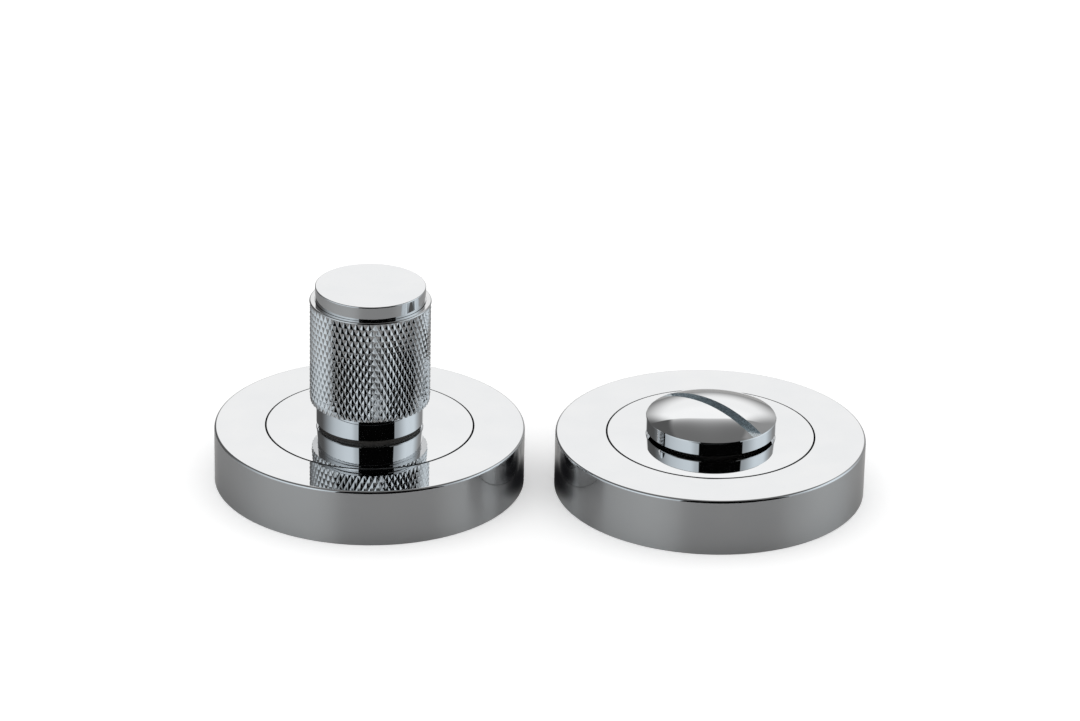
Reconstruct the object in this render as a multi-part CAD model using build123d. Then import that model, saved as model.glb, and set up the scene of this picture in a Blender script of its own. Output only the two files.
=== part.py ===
from build123d import *
import math
import os

# Bathroom lock: an inside thumb turn and an outside coin release, each on a round rose.
# Both halves lie side by side on the back faces that go against the door.
# +Z points out of the door, z = 0 is the door face, and the turn is on the -X side.

# Distance between the axes of the two roses as they lie
rose_spacing = 57.1

# Rose cover: a cup-shaped ring, turned over the mounting plate
rose_radius = 26.0
rose_height = 9.7
cover_wall = 1.6
cover_face = 1.6
cover_edge_round = 0.45
opening_radius = 17.5
opening_edge_break = 0.05

# Centre disc: domed disc with a flange that the cover traps
disc_gap = 0.2
disc_proud = 0.05
disc_rise = 0.5
disc_edge_break = 0.06
flange_overlap = 3.0
flange_thickness = 1.5
disc_thickness = 2.1
skirt_outer_radius = 14.8
skirt_wall = 1.8
hub_wall = 2.8
hub_height = 3.0

# Mounting plate with two countersunk screw holes
plate_thickness = 4.0
plate_gap = 0.1
plate_opening_radius = 10.0
screw_spacing = 38.0
screw_hole_radius = 2.25
countersink_radius = 4.0

# Pegs under the centre disc that key it to the plate
peg_radius = 1.1
peg_length = 1.5
peg_gap = 0.1

# Journal shared by the turn stem and the release button
journal_radius = 6.0
running_gap = 0.08
seat_gap = 0.05
stem_end_height = 0.6
stem_end_chamfer = 0.4
flat_distance = 5.0
spindle_size = 5.0
spindle_gap = 0.1
socket_depth = 9.8

# Flanged nylon bushes, one from each side of the hub
bush_wall = 1.15
bush_gap = 0.2
upper_flange_radius = 8.6
upper_flange_thickness = 0.68
upper_seat_gap = 0.1
lower_flange_radius = 9.4
lower_flange_thickness = 0.8

# Spring washer, stop plate and circlip below the hub
spring_thickness = 0.4
spring_height = 0.9
spring_inner_radius = 6.3
spring_outer_radius = 8.9
stop_plate_thickness = 1.2
stop_plate_radius = 10.6
tab_reach = 2.1
tab_angle = 18.0
stop_gap = 0.3
stop_play_angle = 1.0
circlip_thickness = 1.0
groove_side_gap = 0.1
groove_depth = 0.6
circlip_band = 1.7
circlip_taper = 0.35
circlip_opening_angle = 44.0
circlip_ear_radius = 1.5
circlip_ear_hole_radius = 0.75

# Travel of each half, and the angle at which its tab lies at rest
turn_travel = 90.0
turn_tab_rest = 45.0
release_travel = 90.0
release_tab_rest = 90.0

# Thumb turn: neck, knurled sleeve and end cap
neck_radius = 9.0
neck_height = 3.95
neck_edge_break = 0.12
core_radius = 7.6
sleeve_gap = 0.05
knurl_length = 17.67
lip_height = 0.3
lip_round = 0.25
lip_relief = 0.03
cap_radius = 9.2
cap_recess_gap = 0.08
cap_recess_depth = 0.4
cap_thickness = 2.85
cap_edge_round = 0.18
cap_clamp_gap = 0.2
cap_spigot_radius = 3.5
cap_spigot_length = 5.0
cap_spigot_play = 1.0

# Diamond knurl: two sets of crossing grooves, one cut a little deeper, that leave sharp pyramids
knurl_tip_radius = 10.1
knurl_depth = 0.28
knurl_shallow_depth = 0.22
knurl_starts = 60
knurl_helix_angle = 27.0
knurl_lean_angle = 1.5
knurl_chamfer = 0.12

# Coin release button
button_radius = 10.9
button_side_height = 2.25
button_dome_rise = 2.4
button_edge_break = 0.1
button_skirt_drop = 0.1
slot_width = 2.0
slot_floor_rise = 0.1
slot_angle = -45.0

# Heights of the shared stack, from the door face outwards
cover_underside = rose_height - cover_face
flange_bottom = cover_underside - flange_thickness
disc_radius = opening_radius - disc_gap
disc_edge_height = rose_height + disc_proud
crown_height = disc_edge_height + disc_rise
dome_radius = (disc_radius ** 2 + disc_rise ** 2) / (2 * disc_rise)
bore_radius = journal_radius + running_gap
bush_radius = bore_radius + bush_wall
hub_bore_radius = bush_radius + seat_gap
hub_radius = hub_bore_radius + hub_wall
ceiling_height = disc_edge_height - disc_thickness


def dome_height(radius):
    """Height of the centre disc's face at a distance from its axis."""
    return crown_height - dome_radius + math.sqrt(dome_radius ** 2 - radius ** 2)


upper_seat_radius = upper_flange_radius + upper_seat_gap
upper_seat_height = dome_height(upper_seat_radius) - upper_seat_gap
neck_bottom = upper_seat_height + upper_flange_thickness
hub_bottom = upper_seat_height - hub_height
lower_flange_bottom = hub_bottom - lower_flange_thickness
stop_plate_top = lower_flange_bottom - spring_height
stop_plate_bottom = stop_plate_top - stop_plate_thickness
circlip_bottom = stop_plate_bottom - circlip_thickness
groove_radius = journal_radius - groove_depth
socket_width = spindle_size + 2 * spindle_gap
skirt_inner_radius = skirt_outer_radius - skirt_wall
tab_radius = stop_plate_radius + tab_reach
peg_circle_radius = skirt_outer_radius - skirt_wall / 2
countersink_depth = countersink_radius - screw_hole_radius

# Heights of the thumb turn above the rose
neck_top = neck_bottom + neck_height
knurl_top = neck_top + knurl_length
lip_top = knurl_top + lip_height
lip_radius = knurl_tip_radius + lip_relief
sleeve_bore_radius = core_radius + sleeve_gap
cap_recess_radius = cap_radius + cap_recess_gap
cap_seat = lip_top - cap_recess_depth
cap_top = cap_seat + cap_thickness
core_top = cap_seat - cap_clamp_gap
spigot_bottom = cap_seat - cap_spigot_length

# Heights of the release button
button_bottom = neck_bottom - button_skirt_drop
button_rim = neck_bottom + button_side_height
button_top = button_rim + button_dome_rise
slot_floor = button_rim + slot_floor_rise


def turned(*outline):
    """Solid of revolution about Z from a closed outline of (radius, height) edges."""
    return revolve(Plane.XZ * make_face(outline), Axis.Z)


def ring(inner, outer, bottom, top):
    """Plain turned ring between two radii and two heights."""
    outline = Polyline((inner, bottom), (outer, bottom), (outer, top), (inner, top), close=True)
    return turned(outline)


def rim_edges(solid, radius, height):
    """Round edges of a turned solid at one radius and height."""
    edges = solid.edges().filter_by(GeomType.CIRCLE)
    near = 1e-4
    return [e for e in edges if abs(e.radius - radius) < near and abs(e.center().Z - height) < near]


def sector(radius, start, size):
    """Pie-shaped face with its point on the axis, in degrees."""
    first = Vector(radius, 0).rotate(Axis.Z, start)
    last = Vector(radius, 0).rotate(Axis.Z, start + size)
    return make_face([Line((0, 0), first), CenterArc((0, 0), radius, start, size), Line(last, (0, 0))])


def rose_cover():
    """Outer ring of the rose: a face with a round opening, and a skirt down to the door."""
    skirt_inner = rose_radius - cover_wall
    shell = turned(Polyline(
        (opening_radius, cover_underside), (skirt_inner, cover_underside), (skirt_inner, 0),
        (rose_radius, 0), (rose_radius, rose_height), (opening_radius, rose_height), close=True))
    shell = fillet(rim_edges(shell, rose_radius, rose_height), cover_edge_round)
    return chamfer(rim_edges(shell, opening_radius, rose_height), opening_edge_break)


def stop_rib(travel, tab_first):
    """Rib inside the skirt whose two ends stop the tab of the stop plate."""
    inner = stop_plate_radius + stop_gap
    pocket = travel + tab_angle + 2 * stop_play_angle
    start = tab_first - tab_angle / 2 - stop_play_angle
    outline = Circle(skirt_inner_radius) - Circle(inner) - sector(2 * skirt_inner_radius, start, pocket)
    bottom = plate_thickness + stop_gap
    return Pos(0, 0, bottom) * extrude(outline, ceiling_height - bottom)


def centre_disc(travel, tab_first):
    """Domed disc with its hub, flange, skirt, stop rib and two pegs, cast in one."""
    face_start = dome_height(upper_seat_radius)
    face_middle = (upper_seat_radius + disc_radius) / 2
    body = turned(
        Polyline(
            (upper_seat_radius, face_start), (upper_seat_radius, upper_seat_height),
            (hub_bore_radius, upper_seat_height), (hub_bore_radius, hub_bottom),
            (hub_radius, hub_bottom), (hub_radius, ceiling_height),
            (skirt_inner_radius, ceiling_height), (skirt_inner_radius, plate_thickness),
            (skirt_outer_radius, plate_thickness), (skirt_outer_radius, flange_bottom),
            (disc_radius + flange_overlap, flange_bottom),
            (disc_radius + flange_overlap, cover_underside), (disc_radius, cover_underside),
            (disc_radius, disc_edge_height)),
        ThreePointArc(
            (disc_radius, disc_edge_height), (face_middle, dome_height(face_middle)),
            (upper_seat_radius, face_start)))
    body = chamfer(rim_edges(body, disc_radius, disc_edge_height), disc_edge_break)
    body += stop_rib(travel, tab_first)
    peg = Cylinder(peg_radius, peg_length, align=(Align.CENTER, Align.CENTER, Align.MAX))
    for side in (1, -1):
        body += Pos(0, side * peg_circle_radius, plate_thickness) * peg
    return body


def mounting_plate():
    """Round plate screwed to the door, with a thread round its rim for the cover."""
    plate = ring(plate_opening_radius, rose_radius - cover_wall - plate_gap, 0, plate_thickness)
    hole = Cylinder(screw_hole_radius, plate_thickness, align=(Align.CENTER, Align.CENTER, Align.MIN))
    sink = Cone(screw_hole_radius, countersink_radius, countersink_depth,
                align=(Align.CENTER, Align.CENTER, Align.MAX))
    socket = Cylinder(peg_radius + peg_gap, plate_thickness, align=(Align.CENTER, Align.CENTER, Align.MIN))
    for side in (1, -1):
        screw_x = side * screw_spacing / 2
        plate -= Pos(screw_x, 0, 0) * hole + Pos(screw_x, 0, plate_thickness) * sink
        plate -= Pos(0, side * peg_circle_radius, 0) * socket
    return plate


def bush_length():
    """Length of each bush's tube: the two nearly meet inside the hub."""
    return (hub_height - bush_gap) / 2


def upper_bush():
    """Nylon bush from above: its flange is the dark ring under the neck."""
    flange = ring(bore_radius, upper_flange_radius, upper_seat_height, neck_bottom)
    return flange + ring(bore_radius, bush_radius, upper_seat_height - bush_length(), upper_seat_height)


def lower_bush():
    """Nylon bush from below: its flange carries the spring washer."""
    flange = ring(bore_radius, lower_flange_radius, lower_flange_bottom, hub_bottom)
    return flange + ring(bore_radius, bush_radius, hub_bottom, hub_bottom + bush_length())


def spring_washer():
    """Conical spring washer, pressed between the lower bush and the stop plate."""
    return turned(Polyline(
        (spring_inner_radius, stop_plate_top),
        (spring_inner_radius, stop_plate_top + spring_thickness),
        (spring_outer_radius, lower_flange_bottom),
        (spring_outer_radius, lower_flange_bottom - spring_thickness), close=True))


def stop_plate(tab_rest):
    """Steel plate keyed to the two flats of the journal, with a tab that meets the stops."""
    hole = Circle(journal_radius + seat_gap) & Rectangle(
        2 * (flat_distance + seat_gap), 3 * journal_radius)
    outline = Circle(stop_plate_radius) + sector(tab_radius, tab_rest - tab_angle / 2, tab_angle) - hole
    return Pos(0, 0, stop_plate_bottom) * extrude(outline, stop_plate_thickness)


def circlip(opening_angle):
    """Retaining ring in the journal's groove, open at one side, with two eared ends."""
    inner = groove_radius + seat_gap
    outer = inner + circlip_band
    band = Pos(-circlip_taper, 0) * Circle(outer) - Circle(inner)
    band -= sector(2 * outer, -circlip_opening_angle / 2, circlip_opening_angle)
    ear_circle = outer - circlip_ear_radius / 2
    for side in (1, -1):
        ear_angle = side * (circlip_opening_angle / 2 + math.degrees(circlip_ear_radius / ear_circle))
        ear = Vector(ear_circle, 0).rotate(Axis.Z, ear_angle)
        ear_face = Pos(ear) * Circle(circlip_ear_radius) - Circle(inner)
        band = band + ear_face - Pos(ear) * Circle(circlip_ear_hole_radius)
    return Pos(0, 0, circlip_bottom) * Rot(0, 0, opening_angle) * extrude(band, circlip_thickness)


def journal():
    """Shaft in the bushes: two flats, a circlip groove and a square spindle socket."""
    shaft = ring(0, journal_radius, stem_end_height, neck_bottom)
    shaft = chamfer(rim_edges(shaft, journal_radius, stem_end_height), stem_end_chamfer)
    groove_bottom = circlip_bottom - groove_side_gap
    shaft -= ring(groove_radius, 2 * journal_radius, groove_bottom, stop_plate_bottom)
    flat_height = stop_plate_top - stem_end_height
    side_block = Box(journal_radius, 3 * journal_radius, flat_height,
                     align=(Align.MIN, Align.CENTER, Align.MIN))
    for turn in (0, 180):
        shaft -= Rot(0, 0, turn) * Pos(flat_distance, 0, stem_end_height) * side_block
    return shaft


def spindle_socket():
    """Square space for the spindle, open at the door side."""
    return Pos(0, 0, stem_end_height) * Box(
        socket_width, socket_width, socket_depth, align=(Align.CENTER, Align.CENTER, Align.MIN))


def turn_stem():
    """Journal, polished neck and the core inside the sleeve, turned from one bar."""
    neck = ring(0, neck_radius, neck_bottom, neck_top)
    for height in (neck_bottom, neck_top):
        neck = chamfer(rim_edges(neck, neck_radius, height), neck_edge_break)
    core = ring(0, core_radius, neck_top, core_top)
    tapped_hole = ring(0, cap_spigot_radius + seat_gap, spigot_bottom - cap_spigot_play, core_top)
    return journal() + neck + core - tapped_hole - spindle_socket()


def knurl_point(step, level, bands, depth):
    """Point of the knurl at a step round the barrel and a level up it, leaning slightly."""
    height = neck_top + level * knurl_length / bands
    angle = step * 180 / knurl_starts + level * knurl_lean_angle / bands
    return Vector(knurl_tip_radius - depth, 0, height).rotate(Axis.Z, angle)


def knurl_level(level, bands):
    """Corners of the knurl at one height: tips and groove crossings in turn."""
    return [knurl_point(step, level, bands, 0 if (step + level) % 2 == 0 else knurl_depth)
            for step in range(2 * knurl_starts)]


def knurled_barrel():
    """Bar with a diamond knurl, whose shallower grooves dip only where they cross the deeper ones."""
    half_pitch = math.pi * knurl_tip_radius / knurl_starts
    bands = round(knurl_length * math.tan(math.radians(knurl_helix_angle)) / half_pitch)
    levels = [knurl_level(level, bands) for level in range(bands + 1)]
    inset = (1 - knurl_shallow_depth / knurl_depth) / 2
    facets = [Face(Wire.make_polygon(levels[0])), Face(Wire.make_polygon(levels[-1]))]
    for level in range(bands):
        lower = levels[level]
        upper = levels[level + 1]
        for step in range(2 * knurl_starts):
            after = (step + 1) % (2 * knurl_starts)
            if (step + level) % 2 == 0:
                parts = [(lower[step], lower[after], upper[step]),
                         (lower[after], upper[after], upper[step])]
            else:
                dips = [knurl_point(step + share, level + share, bands, knurl_shallow_depth)
                        for share in (inset, 1 - inset)]
                groove = (lower[step], *dips, upper[after])
                parts = [(start, end, tip) for start, end in zip(groove, groove[1:])
                         for tip in (lower[after], upper[step])]
            facets += [Face(Wire.make_polygon(corners)) for corners in parts]
    return Solid(Shell(facets))


def knurled_sleeve():
    """Knurled tube pressed over the core, chamfered below and with a smooth lip above."""
    blank = turned(Polyline(
        (0, neck_top), (knurl_tip_radius - knurl_chamfer, neck_top),
        (lip_radius, neck_top + knurl_chamfer + lip_relief), (lip_radius, knurl_top),
        (0, knurl_top), close=True))
    barrel = blank & knurled_barrel()
    lip = ring(0, lip_radius, knurl_top, lip_top)
    lip = fillet(rim_edges(lip, lip_radius, lip_top), lip_round)
    bore = ring(0, sleeve_bore_radius, neck_top, lip_top)
    recess = ring(0, cap_recess_radius, cap_seat, lip_top)
    return barrel + lip - bore - recess


def turn_end_cap():
    """Flat cap in the recess of the sleeve, held by a threaded spigot in the core."""
    cap = ring(0, cap_radius, cap_seat, cap_top)
    cap = fillet(rim_edges(cap, cap_radius, cap_top), cap_edge_round)
    return cap + ring(0, cap_spigot_radius, spigot_bottom, cap_seat)


def release_button():
    """Domed button with a coin slot across it and a shallow skirt round the bush's flange."""
    rim = (button_radius, button_rim)
    dome = (button_radius ** 2 + button_dome_rise ** 2) / (2 * button_dome_rise)
    middle = button_radius / 2
    middle_height = button_top - dome + math.sqrt(dome ** 2 - middle ** 2)
    head = turned(
        Polyline((0, button_top), (0, neck_bottom), (upper_seat_radius, neck_bottom),
                 (upper_seat_radius, button_bottom), (button_radius, button_bottom), rim),
        ThreePointArc(rim, (middle, middle_height), (0, button_top)))
    for height in (button_bottom, button_rim):
        head = chamfer(rim_edges(head, button_radius, height), button_edge_break)
    slot = Pos(0, 0, slot_floor) * Box(
        3 * button_radius, slot_width, button_dome_rise, align=(Align.CENTER, Align.CENTER, Align.MIN))
    return journal() + head - Rot(0, 0, slot_angle) * slot - spindle_socket()


def rose_parts(travel, tab_first, tab_rest):
    """The pieces that both halves share, with the stops set for one half's travel."""
    return {
        "rose_cover": rose_cover(),
        "centre_disc": centre_disc(travel, tab_first),
        "mounting_plate": mounting_plate(),
        "upper_bush": upper_bush(),
        "lower_bush": lower_bush(),
        "spring_washer": spring_washer(),
        "stop_plate": stop_plate(tab_rest),
        "circlip": circlip(tab_rest + 180),
    }


turn_parts = rose_parts(turn_travel, turn_tab_rest, turn_tab_rest)
turn_parts["stem"] = turn_stem()
turn_parts["knurled_sleeve"] = knurled_sleeve()
turn_parts["end_cap"] = turn_end_cap()

release_first = release_tab_rest - release_travel / 2
release_parts = rose_parts(release_travel, release_first, release_tab_rest)
release_parts["button"] = release_button()

os.makedirs("parts", exist_ok=True)
for half, side, pieces in (("turn", -1, turn_parts), ("release", 1, release_parts)):
    for name, piece in pieces.items():
        placed = Pos(side * rose_spacing / 2, 0, 0) * piece
        export_step(placed.solid(), f"parts/{half}_{name}.step")
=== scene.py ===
import math
import bmesh
import bpy
from mathutils import Matrix, Vector


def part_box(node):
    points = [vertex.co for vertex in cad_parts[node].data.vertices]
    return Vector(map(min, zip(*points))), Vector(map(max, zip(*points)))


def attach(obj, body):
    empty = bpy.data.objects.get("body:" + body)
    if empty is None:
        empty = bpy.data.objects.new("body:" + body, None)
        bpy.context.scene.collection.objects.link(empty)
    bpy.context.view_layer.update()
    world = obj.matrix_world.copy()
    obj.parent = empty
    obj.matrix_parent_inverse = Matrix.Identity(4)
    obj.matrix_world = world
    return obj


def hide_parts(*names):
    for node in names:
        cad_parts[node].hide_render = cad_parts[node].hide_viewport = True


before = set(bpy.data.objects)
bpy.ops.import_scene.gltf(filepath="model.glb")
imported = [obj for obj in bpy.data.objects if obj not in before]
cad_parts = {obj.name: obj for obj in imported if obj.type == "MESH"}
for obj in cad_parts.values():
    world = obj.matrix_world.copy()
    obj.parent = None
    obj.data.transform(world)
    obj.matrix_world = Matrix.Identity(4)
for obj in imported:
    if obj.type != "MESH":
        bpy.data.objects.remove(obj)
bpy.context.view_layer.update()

# The two mounting plates go against the door and carry everything else.
# Each is die-cast zinc, tumbled and left unplated, with two countersunk screw holes.
# They show only from the door side, through the ring of the cover.

MM = 0.001
SIDES = ("turn", "release")


class Value:
    """A socket of a node tree: arithmetic on it adds Math nodes."""

    def __init__(self, tree, socket):
        self.tree = tree
        self.socket = socket

    def maths(self, operation, *others):
        """Any other Math node, with this value as its first term."""
        return add_maths(self.tree, operation, self, *others)

    def __add__(self, other):
        return add_maths(self.tree, "ADD", self, other)

    def __radd__(self, other):
        return add_maths(self.tree, "ADD", other, self)

    def __sub__(self, other):
        return add_maths(self.tree, "SUBTRACT", self, other)

    def __rsub__(self, other):
        return add_maths(self.tree, "SUBTRACT", other, self)

    def __mul__(self, other):
        return add_maths(self.tree, "MULTIPLY", self, other)

    def __rmul__(self, other):
        return add_maths(self.tree, "MULTIPLY", other, self)

    def __truediv__(self, other):
        return add_maths(self.tree, "DIVIDE", self, other)

    def __rtruediv__(self, other):
        return add_maths(self.tree, "DIVIDE", other, self)


class Outputs:
    """The outputs of a node that was made, by name or number, as values."""

    def __init__(self, tree, node):
        self.tree = tree
        self.node = node

    def __getitem__(self, key):
        return Value(self.tree, self.node.outputs[key])


def make_node(tree, kind, settings=None, sockets=None):
    """Adds one node: its settings first, then the value or link of each socket."""
    node = tree.nodes.new(kind)
    for key, value in (settings or {}).items():
        if key == "stops":
            ramp = node.color_ramp.elements
            while len(ramp) < len(value):
                ramp.new(1.0)
            for stop, (place, colour) in zip(ramp, value):
                stop.position = place
                stop.color = (*colour, 1.0)
        else:
            setattr(node, key, value)
    for key, value in (sockets or {}).items():
        if isinstance(value, Value):
            tree.links.new(value.socket, node.inputs[key])
        else:
            node.inputs[key].default_value = value
    return Outputs(tree, node)


def add_maths(tree, operation, *terms):
    """Adds one Math node on values or plain numbers."""
    return make_node(tree, "ShaderNodeMath", {"operation": operation}, dict(enumerate(terms)))[0]


class Finish:
    """One material with an empty node tree and its object coordinates in millimetres."""

    def __init__(self, name):
        self.material = bpy.data.materials.new(name)
        self.material.use_nodes = True
        self.tree = self.material.node_tree
        self.tree.nodes.clear()
        place = self.node("ShaderNodeTexCoord")["Object"]
        self.place = self.node("ShaderNodeVectorMath", {"operation": "SCALE"},
                               {0: place, "Scale": 1 / MM})[0]

    def node(self, kind, settings=None, sockets=None):
        return make_node(self.tree, kind, settings, sockets)

    def noise(self, size, detail=2.0, stretch=(1, 1, 1)):
        """Noise from 0 to 1, with grains of a given size in millimetres."""
        where = self.node("ShaderNodeVectorMath", {"operation": "MULTIPLY"},
                          {0: self.place, 1: stretch})[0]
        return self.node("ShaderNodeTexNoise", {"noise_dimensions": "3D"},
                         {"Vector": where, "Scale": 1 / size, "Detail": detail})["Fac"]

    def shade(self, factor, stops):
        """Colour along a ramp of stops, each a place and a colour."""
        return self.node("ShaderNodeValToRGB", {"stops": stops}, {"Fac": factor})["Color"]

    def relief(self, height, strength, depth):
        """Surface normal from a height field of a given depth in metres."""
        return self.node("ShaderNodeBump", None, {
            "Height": height, "Strength": strength, "Distance": depth})["Normal"]

    def surface(self, **sockets):
        """Ends the tree in a Principled surface; underscores in names stand for spaces."""
        named = {key.replace("_", " "): value for key, value in sockets.items()}
        shader = self.node("ShaderNodeBsdfPrincipled", None, named)["BSDF"]
        self.node("ShaderNodeOutputMaterial", None, {"Surface": shader})
        return self.material


def cast_zinc():
    """Dull tumbled die casting: cloudy grey, with a fine orange-peel skin."""
    finish = Finish("cast zinc, tumbled")
    cloud = finish.noise(size=3.0, detail=4.0)
    grain = finish.noise(size=0.25, detail=3.0)
    return finish.surface(
        Base_Color=finish.shade(cloud, [(0.3, (0.36, 0.36, 0.35)), (0.7, (0.52, 0.52, 0.50))]),
        Metallic=0.9,
        Roughness=0.42 + 0.2 * grain,
        Normal=finish.relief(grain + 0.5 * cloud, strength=0.5, depth=0.04 * MM))


def dress(node, material):
    """Gives a CAD node's own object a finish."""
    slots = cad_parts[node].data.materials
    slots.clear()
    slots.append(material)


zinc = cast_zinc()
for side in SIDES:
    dress(f"{side}_mounting_plate", zinc)

# The spring washers, stop plates and circlips stack up under each hub.
# Washers and circlips are phosphated spring steel, the stop plates zinc-plated pressed steel.
# A circlip snapped into the journal's groove holds each stack together.


def phosphated_steel():
    """Nearly black oiled spring steel."""
    finish = Finish("spring steel, phosphated")
    grain = finish.noise(size=0.12, detail=4.0)
    return finish.surface(
        Base_Color=finish.shade(grain, [(0.35, (0.10, 0.098, 0.095)), (0.7, (0.22, 0.21, 0.20))]),
        Metallic=0.85,
        Roughness=0.38 + 0.18 * grain,
        Normal=finish.relief(grain, strength=0.4, depth=0.01 * MM))


def zinc_plated_steel():
    """Bright zinc plate with the faint straw and blue tints of its passivation."""
    finish = Finish("pressed steel, zinc plated")
    tint = finish.noise(size=2.5, detail=2.0)
    lines = finish.noise(size=0.3, detail=3.0, stretch=(8, 0.6, 1))
    return finish.surface(
        Base_Color=finish.shade(tint, [
            (0.35, (0.62, 0.64, 0.68)), (0.5, (0.68, 0.68, 0.66)), (0.65, (0.70, 0.66, 0.56))]),
        Metallic=1.0,
        Roughness=0.24 + 0.14 * lines,
        Normal=finish.relief(lines, strength=0.25, depth=0.01 * MM))


spring_steel = phosphated_steel()
pressed_steel = zinc_plated_steel()
for side in SIDES:
    dress(f"{side}_spring_washer", spring_steel)
    dress(f"{side}_circlip", spring_steel)
    dress(f"{side}_stop_plate", pressed_steel)

# The nylon bushes are pushed into each hub from above and below.
# Moulded in black nylon, they are the bearings of the journal.
# The flange of the upper one is the dark ring under the neck and under the button.


def black_nylon():
    """Moulded nylon: near black, with a soft sheen and a faint flow texture."""
    finish = Finish("nylon, black")
    flow = finish.noise(size=0.6, detail=3.0, stretch=(1, 1, 3))
    grain = finish.noise(size=0.08, detail=2.0)
    return finish.surface(
        Base_Color=finish.shade(flow, [(0.3, (0.026, 0.024, 0.022)), (0.7, (0.045, 0.041, 0.037))]),
        Roughness=0.42 + 0.16 * flow,
        Normal=finish.relief(grain + flow, strength=0.3, depth=0.01 * MM))


nylon = black_nylon()
for side in SIDES:
    dress(f"{side}_upper_bush", nylon)
    dress(f"{side}_lower_bush", nylon)

# The rose covers are the two rings that hide the plates and the screws.
# Each is turned brass, mirror-polished and chromed, and screws on over its plate.
# The flat face meets the side in a small rounded edge, and its opening frames the disc.

STEPS = 384
HOLD = 0.02 * MM
LONG_STRETCH = 6
SHARP_ANGLE = 25.0
SAME_SPOT = 0.0001 * MM
COVER_WALL = 1.6 * MM
COVER_FACE = 1.6 * MM
COVER_EDGE_ROUND = 0.45 * MM
COVER_EDGE_STEPS = 10
OPENING_RADIUS = 17.5 * MM
OPENING_EDGE_BREAK = 0.05 * MM
FOOT_BREAK = 0.1 * MM


def polished_chrome():
    """Mirror chrome: faint orange peel and polishing haze, all but invisible face on."""
    finish = Finish("chrome, mirror polished")
    haze = finish.noise(size=7.0, detail=3.0)
    lines = finish.noise(size=0.5, detail=4.0, stretch=(1, 1, 0.12))
    peel = finish.noise(size=0.9, detail=1.0)
    return finish.surface(
        Base_Color=finish.shade(haze, [(0.3, (0.815, 0.825, 0.835)), (0.7, (0.845, 0.85, 0.855))]),
        Metallic=1.0,
        Roughness=0.012 + 0.03 * haze * lines,
        Normal=finish.relief(peel + 0.35 * lines, strength=0.06, depth=0.004 * MM))


def painted_shade_chrome():
    """Painted shade for the walls of the fine joint: dull, rough plating darkened nearly to black and
    mottled, standing for the shade in the narrow gap.
    """
    finish = Finish("chrome, painted shade in the joint")
    shade_mottle = finish.noise(size=1.5, detail=3.0)
    # The near-black base colour is a painted shade of the narrow gap, not the plating's own colour.
    return finish.surface(
        Base_Color=finish.shade(shade_mottle, [(0.3, (0.03, 0.032, 0.035)), (0.7, (0.06, 0.062, 0.065))]),
        Metallic=0.7,
        Roughness=0.5 + 0.2 * shade_mottle)


def arc(centre, radius, start, end, steps):
    """Points along an arc of an outline, from one angle to another in degrees."""
    points = []
    for step in range(steps + 1):
        angle = math.radians(start + (end - start) * step / steps)
        points.append((centre[0] + radius * math.cos(angle), centre[1] + radius * math.sin(angle)))
    return points


def with_holding_rings(outline, hold):
    """Adds a ring close to both ends of each long stretch, so that flats stay flat."""
    points = []
    for start, end in zip(outline, outline[1:] + outline[:1]):
        points.append(start)
        length = math.dist(start, end)
        if length > LONG_STRETCH * hold:
            for share in (hold / length, 1 - hold / length):
                points.append([low + (high - low) * share for low, high in zip(start, end)])
    return points


def bridge(made, lower, upper):
    """Faces between two rings of as many corners; a ring of one corner is a pole."""
    count = max(len(lower), len(upper))
    for step in range(count):
        after = (step + 1) % count
        corners = [lower[step % len(lower)], lower[after % len(lower)],
                   upper[after % len(upper)], upper[step % len(upper)]]
        made.faces.new(list(dict.fromkeys(corners)))


def ring_of(made, axis_x, radius, height, angles):
    """One ring of corners about an upright axis, or a single corner on it."""
    if radius == 0:
        return [made.verts.new((axis_x, 0, height))]
    spots = [(axis_x + radius * math.cos(angle), radius * math.sin(angle)) for angle in angles]
    return [made.verts.new((x, y, height)) for x, y in spots]


def finished_mesh(made, name, material, sharp_angle=SHARP_ANGLE):
    """Turns a bmesh into an object with outward faces, smooth but for its sharp edges."""
    bmesh.ops.remove_doubles(made, verts=made.verts, dist=SAME_SPOT)
    bmesh.ops.recalc_face_normals(made, faces=made.faces)
    mesh = bpy.data.meshes.new(name)
    made.to_mesh(mesh)
    made.free()
    mesh.materials.append(material)
    mesh.shade_smooth()
    mesh.set_sharp_from_angle(angle=math.radians(sharp_angle))
    piece = bpy.data.objects.new(name, mesh)
    bpy.context.scene.collection.objects.link(piece)
    return piece


def turn_about(made, axis_x, outline, steps):
    """Turns a closed outline of (radius, height) about an upright axis into a bmesh."""
    angles = [2 * math.pi * step / steps for step in range(steps)]
    rings = [ring_of(made, axis_x, radius, height, angles) for radius, height in outline]
    for lower, upper in zip(rings, rings[1:] + rings[:1]):
        if len(lower) > 1 or len(upper) > 1:
            bridge(made, lower, upper)


def round_box(node):
    """Axis, radius, lowest and highest point of a round CAD node."""
    low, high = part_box(node)
    return (low.x + high.x) / 2, (high.x - low.x) / 2, low.z, high.z


def paint_shade_in_joint(piece, axis_x, nearest, farthest, lowest):
    """Gives the near-black painted shade to the faces that lie in the joint between ring and disc."""
    piece.data.materials.append(painted_shade_finish)
    for face in piece.data.polygons:
        reach = math.hypot(face.center.x - axis_x, face.center.y)
        if nearest < reach < farthest and face.center.z > lowest:
            face.material_index = 1


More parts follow.
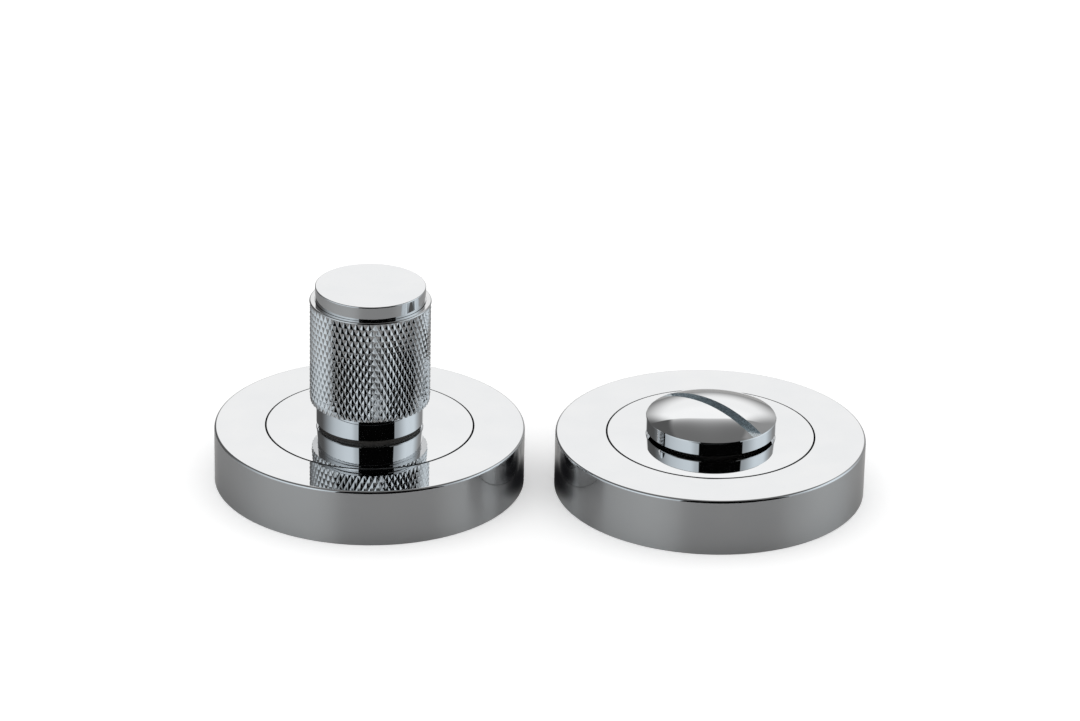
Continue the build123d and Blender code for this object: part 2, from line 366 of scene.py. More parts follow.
chrome = polished_chrome()
# Near-black painted shade for the walls in the joint between ring and disc.
painted_shade_finish = painted_shade_chrome()
for side in SIDES:
    axis_x, radius, bottom, top = round_box(f"{side}_rose_cover")
    inner = radius - COVER_WALL
    outline = [(OPENING_RADIUS, top - COVER_FACE), (inner, top - COVER_FACE), (inner, bottom),
               (radius - FOOT_BREAK, bottom), (radius, bottom + FOOT_BREAK)]
    edge_centre = (radius - COVER_EDGE_ROUND, top - COVER_EDGE_ROUND)
    outline += arc(edge_centre, COVER_EDGE_ROUND, 0, 90, COVER_EDGE_STEPS)
    outline += [(OPENING_RADIUS + OPENING_EDGE_BREAK, top), (OPENING_RADIUS, top - OPENING_EDGE_BREAK)]
    made = bmesh.new()
    turn_about(made, axis_x, with_holding_rings(outline, HOLD), STEPS)
    cover = finished_mesh(made, f"{side}_cover_ring", chrome)
    # The wall of the opening in the joint gets the painted shade.
    paint_shade_in_joint(cover, axis_x, 0, OPENING_RADIUS + OPENING_EDGE_BREAK - HOLD, bottom)
    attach(cover, "roses")
    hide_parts(f"{side}_rose_cover")

# The centre discs sit inside the covers, each with its hub, skirt, stop rib and pegs.
# Each is one zinc casting whose face is turned to a slight dome, polished and chromed.
# The cover traps its flange against the mounting plate, and the pegs stop it turning.

DISC_RADIUS = 17.3 * MM
DISC_RISE = 0.5 * MM
DISC_PROUD = 0.05 * MM
DISC_EDGE_BREAK = 0.06 * MM
FLANGE_TOP = 8.1 * MM
FLANGE_THICKNESS = 1.5 * MM
SKIRT_OUTER = 14.8 * MM
SKIRT_INNER = 13.0 * MM
PLATE_TOP = 4.0 * MM
HUB_CEILING = 7.65 * MM
HUB_RADIUS = 10.08 * MM
HUB_BORE = 7.28 * MM
HUB_HEIGHT = 3.0 * MM
SEAT_RADIUS = 8.7 * MM
SEAT_DROP = 0.1 * MM
RIB_INNER = 10.9 * MM
RIB_BOTTOM = 4.3 * MM
TAB_ANGLE = 18.0
STOP_PLAY = 1.0
TRAVEL = 90.0
PEG_RADIUS = 1.1 * MM
PEG_LENGTH = 1.5 * MM
TAB_FIRST = 45.0
FACE_STEPS = 40
RIB_STEPS = 72
PEG_STEPS = 24
FULL_TURN = 360.0

dome_radius = (DISC_RADIUS ** 2 + DISC_RISE ** 2) / (2 * DISC_RISE)


def dome_drop(radius):
    """How far the domed face lies below its crown at a distance from the axis."""
    return dome_radius - math.sqrt(dome_radius ** 2 - radius ** 2)


def prism(made, corners, bottom, top):
    """Upright block on a flat outline of (x, y) corners."""
    lower = [made.verts.new((x, y, bottom)) for x, y in corners]
    upper = [made.verts.new((x, y, top)) for x, y in corners]
    made.faces.new(lower)
    made.faces.new(upper)
    bridge(made, lower, upper)


for side in SIDES:
    axis_x, radius, _, _ = round_box(f"{side}_centre_disc")
    edge_height = round_box(f"{side}_rose_cover")[3] + DISC_PROUD
    crown = edge_height + DISC_RISE
    seat_height = crown - dome_drop(SEAT_RADIUS) - SEAT_DROP
    hub_bottom = seat_height - HUB_HEIGHT
    outline = [(HUB_BORE, seat_height), (HUB_BORE, hub_bottom), (HUB_RADIUS, hub_bottom),
               (HUB_RADIUS, HUB_CEILING), (SKIRT_INNER, HUB_CEILING), (SKIRT_INNER, PLATE_TOP),
               (SKIRT_OUTER, PLATE_TOP), (SKIRT_OUTER, FLANGE_TOP - FLANGE_THICKNESS),
               (radius, FLANGE_TOP - FLANGE_THICKNESS), (radius, FLANGE_TOP),
               (DISC_RADIUS, FLANGE_TOP), (DISC_RADIUS, edge_height - DISC_EDGE_BREAK)]
    outline = with_holding_rings(outline, HOLD)[:-2]
    face_radius = DISC_RADIUS - DISC_EDGE_BREAK
    for step in range(FACE_STEPS + 1):
        reach = face_radius - (face_radius - SEAT_RADIUS) * step / FACE_STEPS
        outline.append((reach, crown - dome_drop(reach)))
    outline.append((SEAT_RADIUS, seat_height))
    made = bmesh.new()
    turn_about(made, axis_x, outline, STEPS)
    rib_start = TAB_FIRST + TRAVEL + TAB_ANGLE / 2 + STOP_PLAY
    rib_size = FULL_TURN - TRAVEL - TAB_ANGLE - 2 * STOP_PLAY
    rib_end = rib_start + rib_size
    rib = arc((axis_x, 0), RIB_INNER, rib_start, rib_end, RIB_STEPS)
    rib += arc((axis_x, 0), SKIRT_INNER, rib_end, rib_start, RIB_STEPS)
    prism(made, rib, RIB_BOTTOM, HUB_CEILING)
    for peg_side in (1, -1):
        peg_y = peg_side * (SKIRT_OUTER + SKIRT_INNER) / 2
        peg = arc((axis_x, peg_y), PEG_RADIUS, 0, FULL_TURN, PEG_STEPS)[:-1]
        prism(made, peg, PLATE_TOP - PEG_LENGTH, PLATE_TOP)
    disc = finished_mesh(made, f"{side}_disc_domed", chrome)
    # The edge wall of the disc in the joint gets the painted shade.
    paint_shade_in_joint(disc, axis_x, DISC_RADIUS - DISC_EDGE_BREAK + HOLD, radius, FLANGE_TOP - HOLD)
    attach(disc, "roses")
    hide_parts(f"{side}_centre_disc")

# The turn's stem is one turned brass bar: journal, polished neck and the core of the knob.
# Its journal has two flats for the stop plate, a circlip groove and a square spindle socket.
# Only the neck shows, between the dark ring of the bush and the knurled sleeve.

JOURNAL_RADIUS = 6.0 * MM
STEM_END = 0.6 * MM
STEM_END_CHAMFER = 0.4 * MM
GROOVE_RADIUS = 5.4 * MM
FLAT_DISTANCE = 5.0 * MM
SOCKET_WIDTH = 5.2 * MM
SOCKET_DEPTH = 9.8 * MM
NECK_EDGE_BREAK = 0.12 * MM
CORE_RADIUS = 7.6 * MM
TAPPED_RADIUS = 3.55 * MM
TAPPED_BOTTOM_GAP = 1.0 * MM
CIRCLIP_PLAY = 0.1 * MM
CUT_PAST = 1.0 * MM
CUT_REACH = 3


def journal_outline(circlip, neck_bottom):
    """Outline of the journal from its end at the axis up to the underside of the head."""
    _, _, groove_bottom, groove_top = round_box(circlip)
    groove_bottom -= CIRCLIP_PLAY
    return [(0, STEM_END), (JOURNAL_RADIUS - STEM_END_CHAMFER, STEM_END),
            (JOURNAL_RADIUS, STEM_END + STEM_END_CHAMFER),
            (JOURNAL_RADIUS, groove_bottom), (GROOVE_RADIUS, groove_bottom),
            (GROOVE_RADIUS, groove_top), (JOURNAL_RADIUS, groove_top),
            (JOURNAL_RADIUS, neck_bottom)]


def box_corners(axis_x, width, depth, angle=0.0, offset=0.0):
    """Corners of an upright box's plan about an axis, turned and moved along its width."""
    turned = Matrix.Rotation(angle, 2)
    corners = []
    for across, along in ((-1, -1), (1, -1), (1, 1), (-1, 1)):
        corner = turned @ Vector((offset + across * width / 2, along * depth / 2))
        corners.append((axis_x + corner.x, corner.y))
    return corners


def baked_mesh(piece):
    """The mesh that a piece's modifiers make of it."""
    bpy.context.view_layer.update()
    evaluated = piece.evaluated_get(bpy.context.evaluated_depsgraph_get())
    return bpy.data.meshes.new_from_object(evaluated)


def cut_away(piece, blocks, finish):
    """Cuts upright blocks (corners, bottom, top) out of a piece and dresses what they bare."""
    made = bmesh.new()
    for corners, bottom, top in blocks:
        prism(made, corners, bottom, top)
    cutter = finished_mesh(made, "cutter", finish)
    cut = piece.modifiers.new("cut", "BOOLEAN")
    cut.operation = "DIFFERENCE"
    cut.solver = "EXACT"
    cut.material_mode = "TRANSFER"
    cut.object = cutter
    baked = baked_mesh(piece)
    piece.modifiers.remove(cut)
    baked.name = piece.name
    piece.data = baked
    baked.set_sharp_from_angle(angle=math.radians(SHARP_ANGLE))
    bpy.data.objects.remove(cutter)


def journal_cuts(axis_x, stop_plate):
    """Blocks that cut the spindle socket and the two flats of a journal."""
    flat_top = round_box(stop_plate)[3]
    flat_width = 2 * JOURNAL_RADIUS
    flat_length = CUT_REACH * JOURNAL_RADIUS
    below = STEM_END - CUT_PAST
    blocks = [(box_corners(axis_x, SOCKET_WIDTH, SOCKET_WIDTH), below, STEM_END + SOCKET_DEPTH)]
    for hand in (1, -1):
        middle = hand * (FLAT_DISTANCE + flat_width / 2)
        blocks.append((box_corners(axis_x, flat_width, flat_length, offset=middle), below, flat_top))
    return blocks


axis_x, neck_radius, _, core_top = round_box("turn_stem")
neck_bottom = round_box("turn_upper_bush")[3]
neck_top = round_box("turn_knurled_sleeve")[2]
spigot_bottom = round_box("turn_end_cap")[2]
outline = journal_outline("turn_circlip", neck_bottom)
tapped_bottom = spigot_bottom - TAPPED_BOTTOM_GAP
outline += [(neck_radius - NECK_EDGE_BREAK, neck_bottom), (neck_radius, neck_bottom + NECK_EDGE_BREAK),
            (neck_radius, neck_top - NECK_EDGE_BREAK), (neck_radius - NECK_EDGE_BREAK, neck_top),
            (CORE_RADIUS, neck_top), (CORE_RADIUS, core_top), (TAPPED_RADIUS, core_top),
            (TAPPED_RADIUS, tapped_bottom), (0, tapped_bottom)]
made = bmesh.new()
turn_about(made, axis_x, with_holding_rings(outline, HOLD)[:-2], STEPS)
stem = finished_mesh(made, "turn_stem_and_neck", chrome)
cut_away(stem, journal_cuts(axis_x, "turn_stop_plate"), chrome)
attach(stem, "thumb_turn")
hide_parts("turn_stem")

# The knurled sleeve is the grip: brass tube rolled with a diamond knurl, then chromed.
# Two sets of crossing grooves, one a little deeper, leave sharp pyramids right round it.
# It is pressed over the core and ends above in a smooth flat lip round the cap.

KNURL_STARTS = 60
KNURL_BANDS = 17
KNURL_TIP_RADIUS = 10.1 * MM
KNURL_DEPTH = 0.28 * MM
KNURL_SHALLOW_DEPTH = 0.22 * MM
KNURL_LENGTH = 17.67 * MM
KNURL_LEAN = math.radians(1.5)
KNURL_CHAMFER = 0.12 * MM
KNURL_SOFTNESS = 0.04
FACET_ROWS = (0.0, 0.5, 1.0)
FACET_STRIPS = (0.0, 0.1, 0.9, 1.0)
KNURL_SHARP_ANGLE = 32.0
NEVER_SHARP = 180.0
KNURL_SAME_SPOT = 0.001 * MM
LIP_RADIUS = 10.13 * MM
LIP_ROUND = 0.25 * MM
LIP_STEPS = 10
RECESS_RADIUS = 9.28 * MM
RECESS_DEPTH = 0.4 * MM
SLEEVE_BORE = 7.65 * MM


def knurled_chrome():
    """Chrome over the knurl: a little darker and less sharp than the rest, from the rolling."""
    finish = Finish("chrome, over the knurl")
    grain = finish.noise(size=0.15, detail=3.0)
    cloud = finish.noise(size=2.0, detail=2.0)
    return finish.surface(
        Base_Color=finish.shade(cloud, [(0.3, (0.74, 0.745, 0.75)), (0.7, (0.79, 0.79, 0.79))]),
        Metallic=1.0,
        Roughness=0.02 + 0.03 * grain,
        Normal=finish.relief(grain, strength=0.15, depth=0.004 * MM))


def knurl_diamond():
    """One pyramid of the knurl on a flat unit diamond: its tip at 0, its deep grooves at -1."""
    low = KNURL_SHALLOW_DEPTH / KNURL_DEPTH
    near = (1 + low) / 2
    half = [(1, 0, -1), (0, 1, -1), (near - 1, near, -low), (-near, 1 - near, -low)]
    corners = [Vector(spot) for spot in half + [(-x, -y, height) for x, y, height in half]]
    made = bmesh.new()
    tip = made.verts.new((0, 0, -KNURL_SOFTNESS))
    for start, end in zip(corners, corners[1:] + corners[:1]):
        inner = [tip] * len(FACET_STRIPS)
        for reach in FACET_ROWS[1:]:
            outer = []
            for share in FACET_STRIPS:
                spot = start.lerp(end, share) * reach
                on_ridge = share in (0, 1)
                if on_ridge:
                    spot.z -= KNURL_SOFTNESS * (1 - reach)
                outer.append(made.verts.new(spot))
            for strip in range(len(FACET_STRIPS) - 1):
                around = [inner[strip], outer[strip], outer[strip + 1], inner[strip + 1]]
                made.faces.new(list(dict.fromkeys(around)))
            inner = outer
    return finished_mesh(made, "knurl_diamond", knurl_finish, sharp_angle=NEVER_SHARP)


def knurl_tree():
    """Geometry Nodes: repeats the diamond in staggered rows and wraps them into a barrel."""
    tree = bpy.data.node_groups.new("diamond knurl", "GeometryNodeTree")
    sockets = {}
    for name, kind in (("Geometry", "NodeSocketGeometry"), ("Starts", "NodeSocketInt"),
                       ("Bands", "NodeSocketInt"), ("Tip radius", "NodeSocketFloat"),
                       ("Depth", "NodeSocketFloat"), ("Length", "NodeSocketFloat"),
                       ("Lean", "NodeSocketFloat"), ("Chamfer", "NodeSocketFloat"),
                       ("Axis", "NodeSocketFloat"), ("Bottom", "NodeSocketFloat"),
                       ("Same spot", "NodeSocketFloat"), ("Finish", "NodeSocketMaterial")):
        sockets[name] = tree.interface.new_socket(name, in_out="INPUT", socket_type=kind).identifier
    tree.interface.new_socket("Geometry", in_out="OUTPUT", socket_type="NodeSocketGeometry")

    def node(kind, settings=None, inputs=None):
        return make_node(tree, kind, settings, inputs)

    given = node("NodeGroupInput")
    starts, bands = given["Starts"], given["Bands"]
    rows = node("GeometryNodeMeshGrid", None, {
        "Size X": starts - 1, "Size Y": bands, "Vertices X": starts, "Vertices Y": bands + 1})["Mesh"]
    spot = node("ShaderNodeSeparateXYZ", None, {"Vector": node("GeometryNodeInputPosition")[0]})
    row = (spot["Y"] + bands / 2).maths("ROUND")
    step = 2 * (spot["X"] + (starts - 1) / 2) + row.maths("FLOORED_MODULO", 2.0)
    staggered = node("ShaderNodeCombineXYZ", None, {"X": step, "Y": row})["Vector"]
    rows = node("GeometryNodeSetPosition", None, {"Geometry": rows, "Position": staggered})["Geometry"]
    spread = node("GeometryNodeInstanceOnPoints", None, {"Points": rows, "Instance": given["Geometry"]})
    spread = node("GeometryNodeRealizeInstances", None, {"Geometry": spread["Instances"]})["Geometry"]

    middle = node("ShaderNodeSeparateXYZ", None, {"Vector": node("GeometryNodeInputPosition")[0]})["Y"]
    beyond = (middle - bands / 2).maths("ABSOLUTE").maths("GREATER_THAN", bands / 2)
    kept = node("GeometryNodeDeleteGeometry", {"domain": "FACE"},
                {"Geometry": spread, "Selection": beyond})["Geometry"]

    flat = node("ShaderNodeSeparateXYZ", None, {"Vector": node("GeometryNodeInputPosition")[0]})
    height = flat["Y"] * given["Length"] / bands
    chamfered = given["Tip radius"] - given["Chamfer"] + height
    radius = chamfered.maths("MINIMUM", given["Tip radius"] + flat["Z"] * given["Depth"])
    angle = flat["X"] * math.pi / starts + flat["Y"] * given["Lean"] / bands
    wrapped = node("ShaderNodeCombineXYZ", None, {
        "X": given["Axis"] + radius * angle.maths("COSINE"),
        "Y": radius * angle.maths("SINE"),
        "Z": given["Bottom"] + height})["Vector"]
    barrel = node("GeometryNodeSetPosition", None, {"Geometry": kept, "Position": wrapped})["Geometry"]
    barrel = node("GeometryNodeMergeByDistance", None, {
        "Geometry": barrel, "Distance": given["Same spot"]})["Geometry"]
    barrel = node("GeometryNodeRealizeInstances", None, {"Geometry": barrel})["Geometry"]
    barrel = node("GeometryNodeSetMaterial", None, {"Geometry": barrel, "Material": given["Finish"]})
    node("NodeGroupOutput", None, {"Geometry": barrel["Geometry"]})
    return tree, sockets


def bearing_of(corner, axis_x):
    """Angle of a corner about an upright axis."""
    return math.atan2(corner.co.y, corner.co.x - axis_x)


def edge_ring(made, axis_x, height):
    """The open edge of the barrel at one height, in order round the axis."""
    corners = [corner for corner in made.verts
               if corner.is_boundary and abs(corner.co.z - height) < KNURL_SAME_SPOT]
    return sorted(corners, key=lambda corner: bearing_of(corner, axis_x))


knurl_finish = knurled_chrome()
axis_x, _, sleeve_bottom, sleeve_top = round_box("turn_knurled_sleeve")
knurl_top = sleeve_bottom + KNURL_LENGTH
cap_seat = sleeve_top - RECESS_DEPTH
diamond = knurl_diamond()
tree, sockets = knurl_tree()
knurl = diamond.modifiers.new("knurl", "NODES")
knurl.node_group = tree
for name, value in (("Starts", KNURL_STARTS), ("Bands", KNURL_BANDS), ("Tip radius", KNURL_TIP_RADIUS),
                    ("Depth", KNURL_DEPTH), ("Length", KNURL_LENGTH), ("Lean", KNURL_LEAN),
                    ("Chamfer", KNURL_CHAMFER), ("Axis", axis_x), ("Bottom", sleeve_bottom),
                    ("Same spot", KNURL_SAME_SPOT), ("Finish", knurl_finish)):
    knurl[sockets[name]] = value
barrel = baked_mesh(diamond)
bpy.data.objects.remove(diamond)

made = bmesh.new()
made.from_mesh(barrel)
lower = edge_ring(made, axis_x, sleeve_bottom)
upper = edge_ring(made, axis_x, knurl_top)
angles = [bearing_of(corner, axis_x) for corner in upper]
outline = [(LIP_RADIUS, knurl_top)]
outline += arc((LIP_RADIUS - LIP_ROUND, sleeve_top - LIP_ROUND), LIP_ROUND, 0, 90, LIP_STEPS)
outline += [(LIP_RADIUS - LIP_ROUND - HOLD, sleeve_top), (RECESS_RADIUS + HOLD, sleeve_top),
            (RECESS_RADIUS, sleeve_top - HOLD), (RECESS_RADIUS, cap_seat), (SLEEVE_BORE, cap_seat),
            (SLEEVE_BORE, sleeve_bottom)]
previous = upper
for radius, height in outline:
    following = ring_of(made, axis_x, radius, height, angles)
    bridge(made, previous, following)
    previous = following
bridge(made, previous, lower)
sleeve = finished_mesh(made, "turn_sleeve_knurled", knurl_finish, sharp_angle=KNURL_SHARP_ANGLE)
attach(sleeve, "thumb_turn")
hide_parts("turn_knurled_sleeve")

# The end cap closes the top of the knob: a plain brass disc, polished and chromed.
# It sits in the recess of the sleeve with a fine dark gap round it.
# A threaded spigot under it goes into the core and clamps the sleeve down.

CAP_EDGE_ROUND = 0.18 * MM
CAP_EDGE_STEPS = 8
SPIGOT_RADIUS = 3.5 * MM

axis_x, cap_radius, spigot_bottom, cap_top = round_box("turn_end_cap")
outline = [(0, spigot_bottom), (SPIGOT_RADIUS, spigot_bottom), (SPIGOT_RADIUS, cap_seat),
           (cap_radius, cap_seat)]
edge_centre = (cap_radius - CAP_EDGE_ROUND, cap_top - CAP_EDGE_ROUND)
outline += arc(edge_centre, CAP_EDGE_ROUND, 0, 90, CAP_EDGE_STEPS)
outline.append((0, cap_top))
made = bmesh.new()
turn_about(made, axis_x, with_holding_rings(outline, HOLD)[:-2], STEPS)
cap = finished_mesh(made, "turn_cap_flat", chrome)
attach(cap, "thumb_turn")
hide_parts("turn_end_cap")

# The coin release is one turned brass piece: a domed button on the same journal.
# A straight slot is milled across the dome, down to just above its rim, for a coin.
# It is polished and chromed, and a shallow skirt below hides the joint with the bush.

BUTTON_SIDE = 2.25 * MM
BUTTON_RISE = 2.4 * MM
BUTTON_EDGE_BREAK = 0.1 * MM
BUTTON_SKIRT_DROP = 0.1 * MM
SLOT_WIDTH = 2.0 * MM
SLOT_FLOOR_RISE = 0.1 * MM
SLOT_ANGLE = -45.0
DOME_STEPS = 64


def milled_chrome():
    """Chrome over the slot's milled walls: satin blue-grey, with the cutter's fine marks."""
    finish = Finish("chrome, over milling")
    marks = finish.noise(size=0.35, detail=4.0, stretch=(1, 1, 4))
    return finish.surface(
        Base_Color=finish.shade(marks, [(0.35, (0.41, 0.46, 0.49)), (0.65, (0.73, 0.79, 0.82))]),
        Metallic=1.0,
        Roughness=0.28 + 0.2 * marks,
        Normal=finish.relief(marks, strength=0.4, depth=0.03 * MM))


axis_x, button_radius, _, button_top = round_box("release_button")
flange_top = round_box("release_upper_bush")[3]
button_bottom = flange_top - BUTTON_SKIRT_DROP
rim = flange_top + BUTTON_SIDE
ball = (button_radius ** 2 + BUTTON_RISE ** 2) / (2 * BUTTON_RISE)
outline = journal_outline("release_circlip", flange_top)
outline += [(SEAT_RADIUS, flange_top), (SEAT_RADIUS, button_bottom),
            (button_radius - BUTTON_EDGE_BREAK, button_bottom),
            (button_radius, button_bottom + BUTTON_EDGE_BREAK), (button_radius, rim - BUTTON_EDGE_BREAK)]
outline = with_holding_rings(outline, HOLD)[:-2]
for step in range(DOME_STEPS + 1):
    reach = (button_radius - BUTTON_EDGE_BREAK) * (1 - step / DOME_STEPS)
    outline.append((reach, rim + BUTTON_RISE - ball + math.sqrt(ball ** 2 - reach ** 2)))
made = bmesh.new()
turn_about(made, axis_x, outline, STEPS)
button = finished_mesh(made, "release_button_domed", chrome)
cut_away(button, journal_cuts(axis_x, "release_stop_plate"), chrome)
slot = box_corners(axis_x, CUT_REACH * button_radius, SLOT_WIDTH, math.radians(SLOT_ANGLE))
cut_away(button, [(slot, rim + SLOT_FLOOR_RISE, button_top + CUT_PAST)], milled_chrome())
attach(button, "coin_release")
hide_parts("release_button")

# The floor is a plain pale sheet with the soft shadow of the set, and clear from below.
# Polished metal sees it as a grey table top with a slight sheen, darker between the roses, and sees
# the studio past its edges, as the knurl and the chrome sides show it.

FLOOR_SIZE = 3000.0 * MM
FLOOR_WHITE = 0.9
FLOOR_LIFT = 0.25
TABLE_SIDE = 130.0
TABLE_FRONT = 95.0
TABLE_GREY = (0.278, 0.282, 0.288, 1)
TABLE_SHADE = (0.02, 0.02, 0.022, 1)
SHADE_REACH = (6.0, 11.0)
TABLE_SHEEN = 0.22
SHEEN_CHANGE = 0.02
PAPER_GRAIN = 40.0
TABLE_ROUGHNESS = 0.42
TABLE_WARMTH = (1.0, 0.97, 0.93, 1)


def floor_sheet():
    """Finish of the floor, with its lengths in millimetres; from below, rays pass through it."""
    finish = Finish("floor, pale")
    paper = finish.noise(size=PAPER_GRAIN, detail=2.0)
    white = finish.node("ShaderNodeBsdfDiffuse", None, {"Color": (*[FLOOR_WHITE] * 3, 1)})["BSDF"]
    lift = finish.node("ShaderNodeEmission", None, {"Strength": FLOOR_LIFT})["Emission"]
    pale = finish.node("ShaderNodeAddShader", None, {0: white, 1: lift})[0]
    grey = finish.node("ShaderNodeBsdfDiffuse", None, {"Color": TABLE_GREY})["BSDF"]
    shade = finish.node("ShaderNodeBsdfDiffuse", None, {"Color": TABLE_SHADE})["BSDF"]
    sheen = finish.node("ShaderNodeBsdfAnisotropic", None, {
        "Color": TABLE_WARMTH, "Roughness": TABLE_ROUGHNESS})["BSDF"]
    sheen_share = TABLE_SHEEN + SHEEN_CHANGE * paper
    table = finish.node("ShaderNodeMixShader", None, {0: sheen_share, 1: grey, 2: sheen})[0]
    spot = finish.node("ShaderNodeSeparateXYZ", None, {"Vector": finish.place})
    across, along = spot["X"] / SHADE_REACH[0], spot["Y"] / SHADE_REACH[1]
    open_floor = finish.node("ShaderNodeMapRange", {"interpolation_type": "SMOOTHSTEP"}, {
        "Value": across * across + along * along, "From Min": 0.0, "From Max": 1.0})[0]
    table = finish.node("ShaderNodeMixShader", None, {0: open_floor, 1: shade, 2: table})[0]
    off = spot["X"].maths("ABSOLUTE").maths("GREATER_THAN", TABLE_SIDE)
    off = off.maths("MAXIMUM", spot["Y"].maths("LESS_THAN", -TABLE_FRONT))
    path = finish.node("ShaderNodeLightPath")
    off = off.maths("MAXIMUM", path["Transparent Depth"])
    clear = finish.node("ShaderNodeBsdfTransparent")[0]
    table = finish.node("ShaderNodeMixShader", None, {0: off, 1: table, 2: clear})[0]
    top = finish.node("ShaderNodeMixShader", None, {0: path["Is Glossy Ray"], 1: pale, 2: table})[0]
    below = finish.node("ShaderNodeNewGeometry")["Backfacing"]
    sheet = finish.node("ShaderNodeMixShader", None, {0: below, 1: top, 2: clear})[0]
    finish.node("ShaderNodeOutputMaterial", None, {"Surface": sheet})
    return finish.material


made = bmesh.new()
half = FLOOR_SIZE / 2
corners = ((-half, -half), (half, -half), (half, half), (-half, half))
made.faces.new([made.verts.new((x, y, 0)) for x, y in corners])
floor = finished_mesh(made, "floor", floor_sheet())

# The studio is plain white and even, but for what polished metal sees of it: a white sweep behind,
# a cool soft box on each side, a black gap at the camera's side, grey walls and ceiling, and light
# below. Heights and bearings are in degrees, and bearings count from the camera's side to the right.

GAP = (-21.0, 57.0)
GAP_TOP = (74.0, 80.0)
GAP_LEVEL = 0.001
EDGE_BLUR = 0.8
LEFT_BOX_RISE = (-124.0, -72.0)
LEFT_BOX_CREST = (-95.0, -42.0)
LEFT_BOX_FALL = (-38.0, -24.0)
LEFT_BOX_LEVELS = (0.5, 0.2, 0.25)
RIGHT_BOX_RISE = (56.0, 92.0)
RIGHT_BOX_FALL = (108.0, 142.0)
RIGHT_BOX_LEVELS = (0.28, 0.76)
BOX_TOP = 42.0
BOX_TOP_BLUR = 4.0
COOL = (0.90, 1.0, 1.07)
WALL_LEVELS = (0.10, 0.31)
WALL_RISE = (118.0, 138.0)
WALL_TOP = 58.0
WALL_SLOPE = (231.0, -1.2)
WALL_BLUR = 3.0
SWEEP_EDGES = (-156.5, 157.3)
SWEEP_BLUR = 5.0
SWEEP_TOP = 48.0
SWEEP_BEND = 0.02
SWEEP_FOOT = (-6.0, 17.0)
SWEEP_FOOT_MIDDLE = 3.0
SWEEP_FOOT_BEND = 0.03
SWEEP_FOOT_LEVEL = 0.2
SWEEP_HEAD = (24.0, 36.0)
SWEEP_HEAD_GAIN = 0.07
CEILING_LEVEL = 0.165
SPILL = 0.54
SPILL_REACH = 5.0
UNDER_EDGE = 38.0
UNDER_BLUR = 8.0
UNDER_LEVEL = 0.8
HALF_TURN = 180.0
DEGREES = HALF_TURN / math.pi
WHITE = (1, 1, 1, 1)
MIX_SHARE = 0
MIX_FIRST = 6
MIX_SECOND = 7
MIX_RESULT = 2


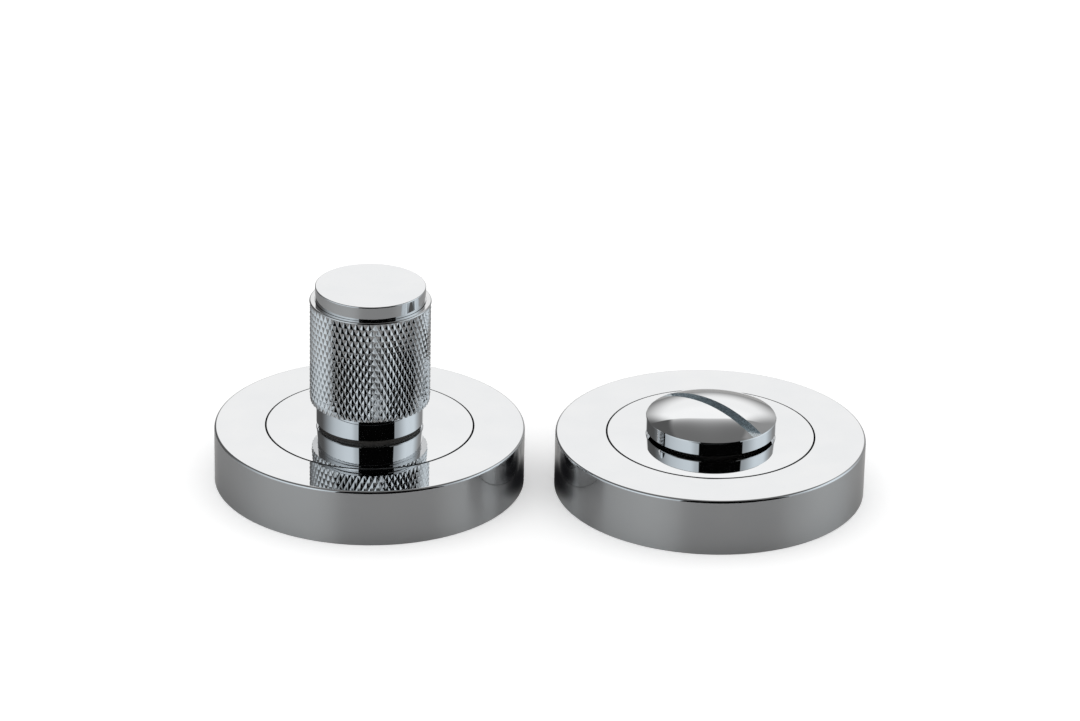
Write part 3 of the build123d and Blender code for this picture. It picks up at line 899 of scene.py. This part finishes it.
def studio_world():
    """World that is plain white, with the boxes, the sweep and the walls for glossy rays only."""
    world = bpy.data.worlds.new("studio")
    world.use_nodes = True
    tree = world.node_tree
    tree.nodes.clear()

    def ramp(value, span, low=0.0, high=1.0):
        """Smooth change from one level to another over a span."""
        return make_node(tree, "ShaderNodeMapRange", {"interpolation_type": "SMOOTHSTEP"}, {
            "Value": value, "From Min": span[0], "From Max": span[1], "To Min": low, "To Max": high})[0]

    def past(value, place, blur=EDGE_BLUR):
        """0 before a place and 1 after it, with a soft edge."""
        return ramp(value, (place - blur, place + blur))

    def mixed(low, high, share):
        """A level between two others."""
        return low + share * (high - low)

    aim = make_node(tree, "ShaderNodeSeparateXYZ", None, {
        "Vector": make_node(tree, "ShaderNodeTexCoord")["Generated"]})
    bearing = aim["X"].maths("ARCTAN2", 0 - aim["Y"]) * DEGREES
    rise = aim["Z"].maths("ARCSINE") * DEGREES
    aside = bearing.maths("ABSOLUTE")
    from_back = HALF_TURN - aside

    level, crest, loss = LEFT_BOX_LEVELS
    left_box = ramp(bearing, LEFT_BOX_RISE, 0, level) + ramp(bearing, LEFT_BOX_CREST, 0, crest)
    left_box = (left_box - ramp(bearing, LEFT_BOX_FALL, 0, loss)) * (1 - past(bearing, GAP[0]))
    right_box = ramp(bearing, RIGHT_BOX_RISE, *RIGHT_BOX_LEVELS) * past(bearing, GAP[1])
    right_box = right_box * ramp(bearing, RIGHT_BOX_FALL, 1, 0)
    over_box = past(rise, BOX_TOP, BOX_TOP_BLUR)

    in_gap = past(bearing, GAP[0]) * (1 - past(bearing, GAP[1]))
    wall = ramp(bearing, WALL_RISE, *WALL_LEVELS)
    wall_top = (WALL_SLOPE[0] + WALL_SLOPE[1] * aside).maths("MINIMUM", WALL_TOP)
    over_sweep = rise - (SWEEP_TOP - SWEEP_BEND * from_back * from_back)
    spill = (over_sweep.maths("MAXIMUM", 0.0) * (-1 / SPILL_REACH)).maths("EXPONENT")
    sides = mixed(wall, CEILING_LEVEL + SPILL * spill, past(rise - wall_top, 0, WALL_BLUR))
    sides = mixed(sides, GAP_LEVEL, in_gap * (1 - ramp(rise, GAP_TOP)))

    from_middle = (bearing + SWEEP_FOOT_MIDDLE).maths("WRAP", HALF_TURN, -HALF_TURN)
    off_middle = HALF_TURN - from_middle.maths("ABSOLUTE")
    over_foot = rise - SWEEP_FOOT_BEND * off_middle * off_middle
    sweep = ramp(over_foot, SWEEP_FOOT, SWEEP_FOOT_LEVEL, 1) + ramp(rise, SWEEP_HEAD, 0, SWEEP_HEAD_GAIN)
    in_sweep = past(bearing, SWEEP_EDGES[1], SWEEP_BLUR) + 1 - past(bearing, SWEEP_EDGES[0], SWEEP_BLUR)
    in_sweep = in_sweep * (1 - past(over_sweep, 0))

    under = past(0 - rise, UNDER_EDGE, UNDER_BLUR)
    around = mixed(mixed(sides, sweep, in_sweep), UNDER_LEVEL, under)
    boxes = (left_box + right_box) * (1 - over_box) * (1 - in_sweep) * (1 - under)
    studio = make_node(tree, "ShaderNodeVectorMath", {"operation": "MULTIPLY_ADD"},
                       {0: COOL, 1: boxes, 2: around})[0]
    in_metal = make_node(tree, "ShaderNodeLightPath")["Is Glossy Ray"]
    seen = make_node(tree, "ShaderNodeMix", {"data_type": "RGBA"}, {
        MIX_SHARE: in_metal, MIX_FIRST: WHITE, MIX_SECOND: studio})[MIX_RESULT]
    sky = make_node(tree, "ShaderNodeBackground", None, {"Color": seen})
    make_node(tree, "ShaderNodeOutputWorld", None, {"Surface": sky["Background"]})
    return world


bpy.context.scene.world = studio_world()

# The camera stands where the photograph was taken from, with a long lens.
# Its place comes from the rims of the roses, the discs, the knob and the button in it.

CAMERA_BEARING = math.radians(0.5947)
CAMERA_RISE = math.radians(24.3616)
CAMERA_ROLL = math.radians(1.2742)
CAMERA_DISTANCE = 801.95 * MM
CAMERA_AIM = (0.1796 * MM, 20.268 * MM)
SENSOR = 36.0
PHOTO_WIDTH = 1080
FOCAL_PIXELS = 4764.17

forward = Vector((-math.sin(CAMERA_BEARING) * math.cos(CAMERA_RISE),
                  math.cos(CAMERA_BEARING) * math.cos(CAMERA_RISE), -math.sin(CAMERA_RISE)))
right = forward.cross(Vector((0, 0, 1))).normalized()
up = right.cross(forward)
rolled_right = right * math.cos(CAMERA_ROLL) + up * math.sin(CAMERA_ROLL)
rolled_up = up * math.cos(CAMERA_ROLL) - right * math.sin(CAMERA_ROLL)
stand = rolled_right * CAMERA_AIM[0] + rolled_up * CAMERA_AIM[1] - forward * CAMERA_DISTANCE
lens = bpy.data.cameras.new("camera")
lens.sensor_width = SENSOR
lens.lens = FOCAL_PIXELS * SENSOR / PHOTO_WIDTH
camera = bpy.data.objects.new("camera", lens)
bpy.context.scene.collection.objects.link(camera)
turned = Matrix((rolled_right, rolled_up, -forward)).transposed().to_4x4()
camera.matrix_world = Matrix.Translation(stand) @ turned
bpy.context.scene.camera = camera
bpy.context.scene.view_settings.view_transform = "Standard"
